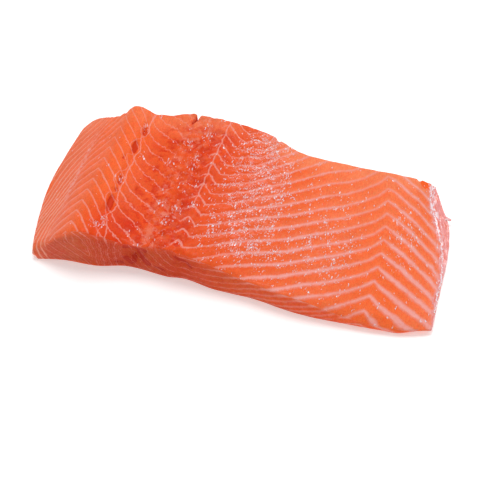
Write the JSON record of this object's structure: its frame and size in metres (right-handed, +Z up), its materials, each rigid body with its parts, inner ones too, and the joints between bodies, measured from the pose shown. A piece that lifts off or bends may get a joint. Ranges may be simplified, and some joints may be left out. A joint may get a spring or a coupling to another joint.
{
  "type": "raw salmon fillet",
  "caption": "Raw skinless salmon portion: thick ridged loin, pin bone groove, torn midline and a thin flat belly, cut straight across the side of the fish.",
  "frame": {"origin": "middle of the bounding box's floor, on the surface that the piece lies on", "axes": "+X from the thick back of the fish to its thin belly edge, +Y from the front cut to the rear cut, +Z up"},
  "size_m": [0.1692, 0.0792, 0.0231],
  "materials": {
    "salmon_flesh": "wet raw flesh, satin to glossy, with pale fat lines"
  },
  "bodies": {
    "root": {"salmon_fillet": "salmon_flesh"}
  },
  "joints": []
}
